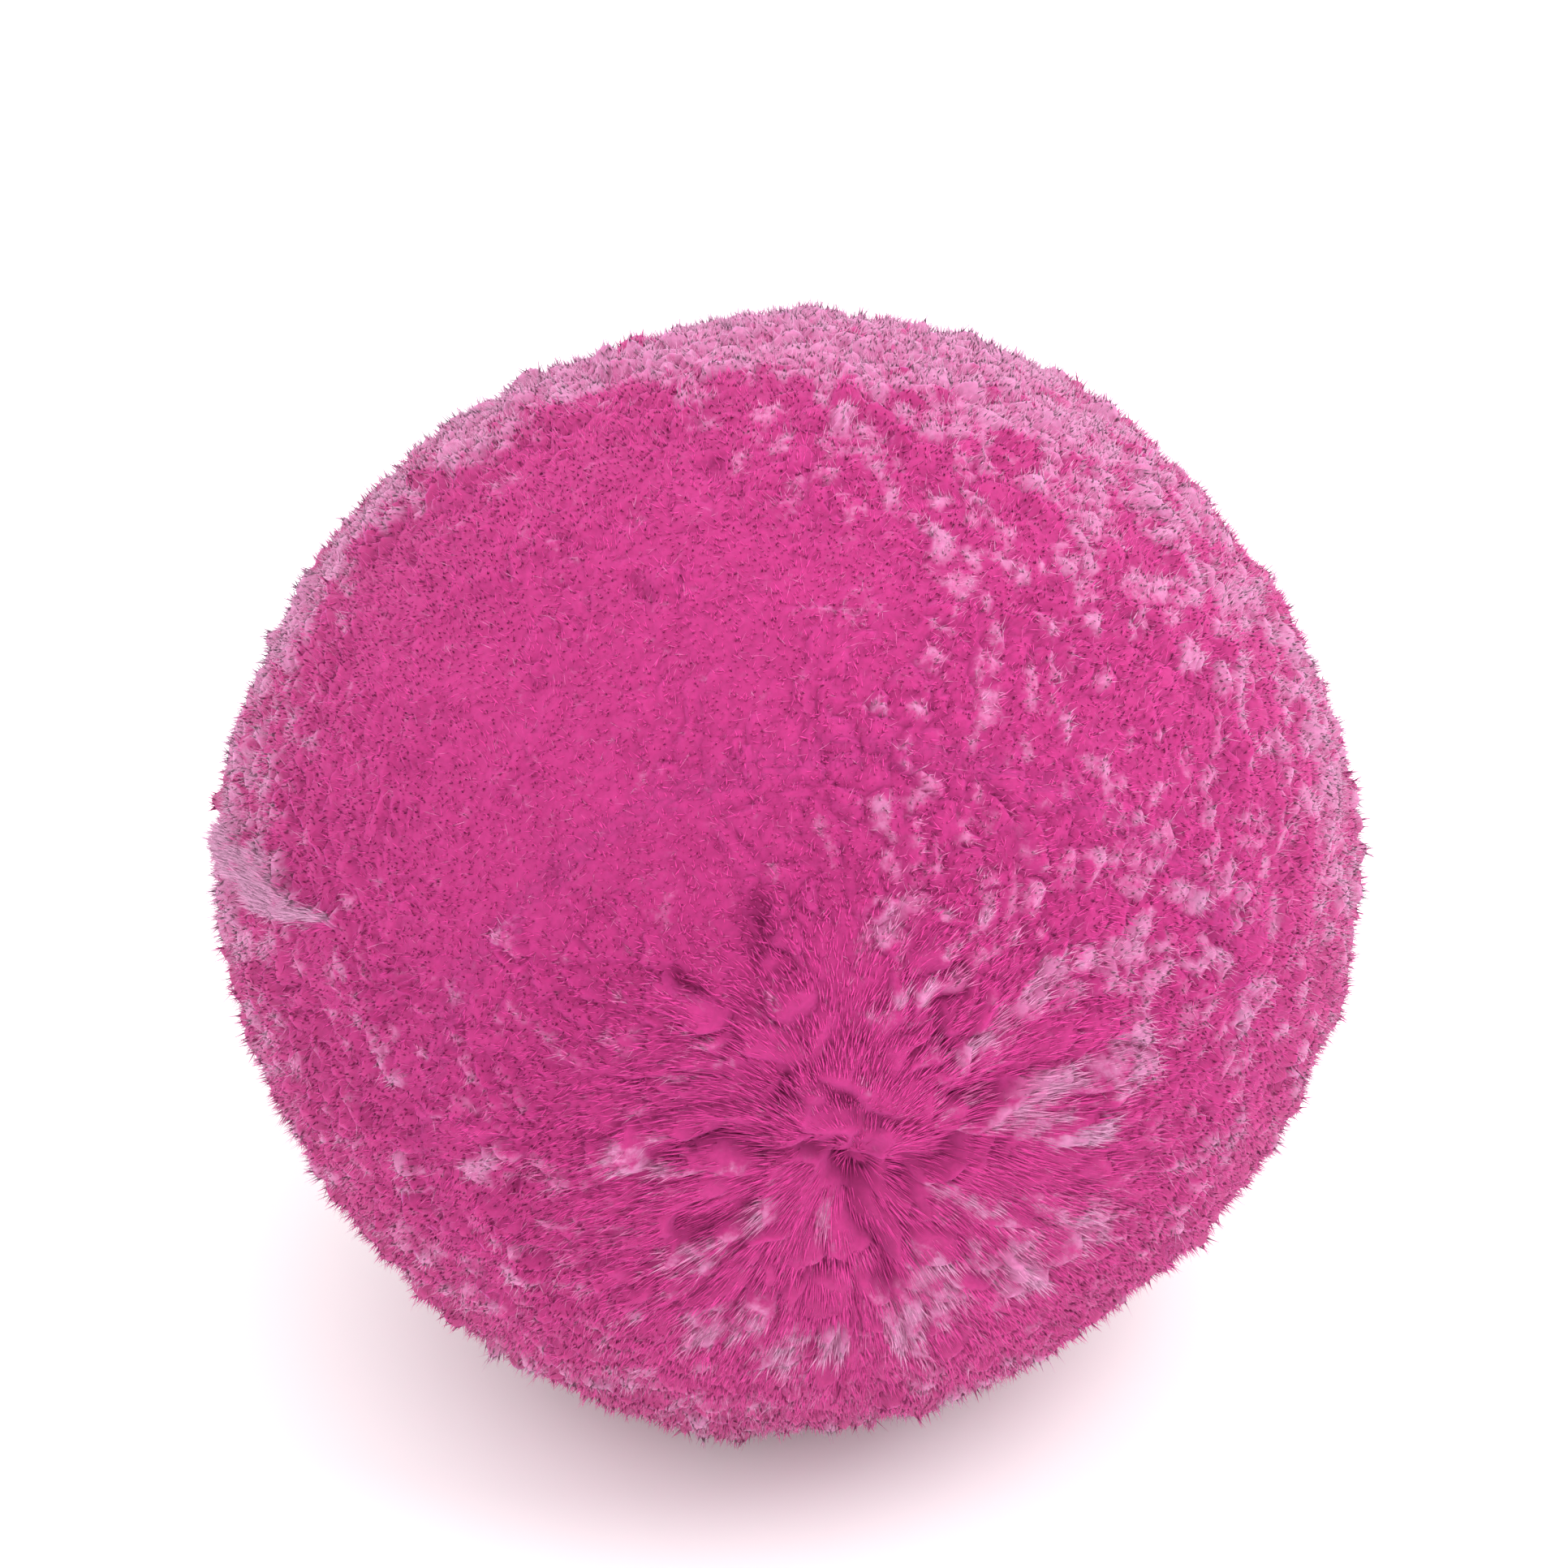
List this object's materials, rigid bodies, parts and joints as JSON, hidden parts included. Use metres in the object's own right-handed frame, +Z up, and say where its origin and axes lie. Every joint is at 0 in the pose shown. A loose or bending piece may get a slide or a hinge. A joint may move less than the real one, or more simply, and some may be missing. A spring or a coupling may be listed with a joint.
{
  "type": "yarn pom pom",
  "caption": "Cut yarn pom pom: a ball of trimmed pile, tied at its hidden middle, with one combed whorl and a small level foot to rest on.",
  "frame": {"origin": "the point on the table under the ball's middle, on the level foot", "axes": "+Z up, -Y towards the side that holds the whorl, +X to the right seen from there"},
  "size_m": [0.0445, 0.0422, 0.0427],
  "materials": {
    "yarn": "matte magenta acrylic yarn, cut ends paler than the depth of the pile"
  },
  "bodies": {
    "root": {"yarn_pile": "yarn"}
  },
  "joints": []
}
